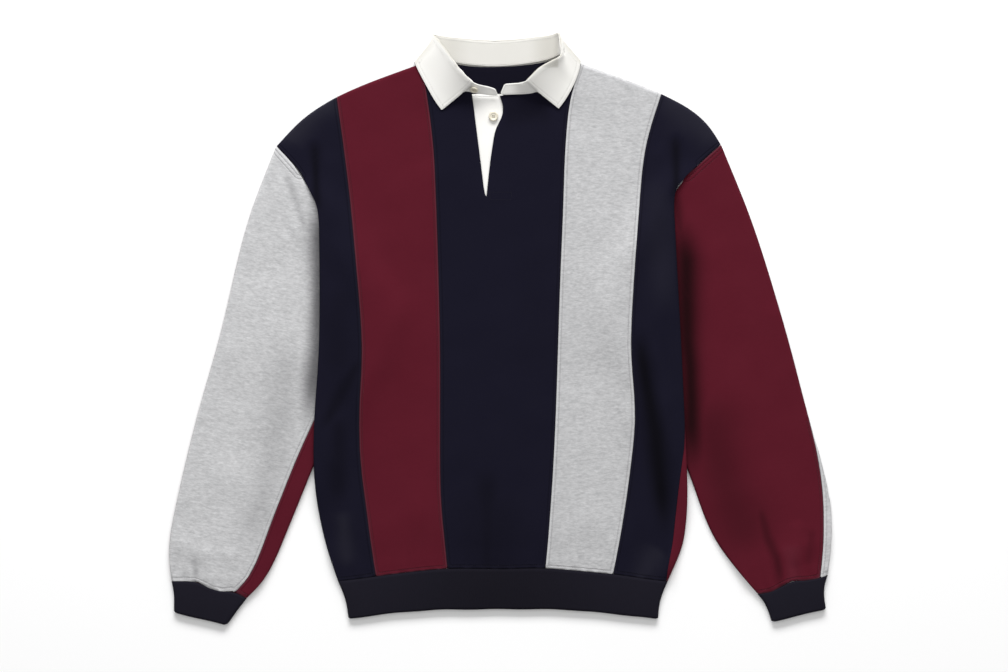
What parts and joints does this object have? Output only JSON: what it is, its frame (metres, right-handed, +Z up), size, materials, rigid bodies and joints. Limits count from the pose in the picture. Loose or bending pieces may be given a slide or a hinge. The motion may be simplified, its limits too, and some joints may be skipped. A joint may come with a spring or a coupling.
{
  "type": "long-sleeved colour-blocked rugby polo shirt",
  "caption": "Heavy jersey long-sleeved polo shirt laid flat on its back, with vertical colour panels, a folded woven collar, a short button placket and ribbed cuffs and waistband.",
  "frame": {"origin": "centre of the shirt's box, on the surface that it lies on", "axes": "+Z up from that surface, through the front of the shirt; +Y towards the collar; +X towards the wearer's left"},
  "size_m": [0.8756, 0.7824, 0.0267],
  "materials": {
    "navy_jersey": "matte brushed cotton jersey, near-black navy",
    "maroon_jersey": "matte brushed cotton jersey, deep maroon",
    "grey_jersey": "matte heathered cotton jersey, light grey marl",
    "navy_rib": "matte fine rib knit, near-black navy",
    "collar_twill": "matte cotton twill, off-white",
    "button": "satin polyester resin, off-white"
  },
  "bodies": {
    "root": {"front_side_right": "navy_jersey", "front_stripe_maroon": "maroon_jersey", "front_centre": "navy_jersey", "front_stripe_grey": "grey_jersey", "front_side_left": "navy_jersey", "back_centre": "navy_jersey", "back_side_left": "maroon_jersey", "sleeve_right_front": "grey_jersey", "sleeve_right_back": "maroon_jersey", "sleeve_left_front": "maroon_jersey", "sleeve_left_back": "grey_jersey", "cuff_right": "navy_rib", "cuff_left": "navy_rib", "waistband": "navy_rib", "collar_band": "collar_twill", "collar_fall": "collar_twill", "placket_stand": "collar_twill", "placket_fly": "navy_jersey", "button_placket": "button", "button_collar": "button"}
  },
  "joints": []
}
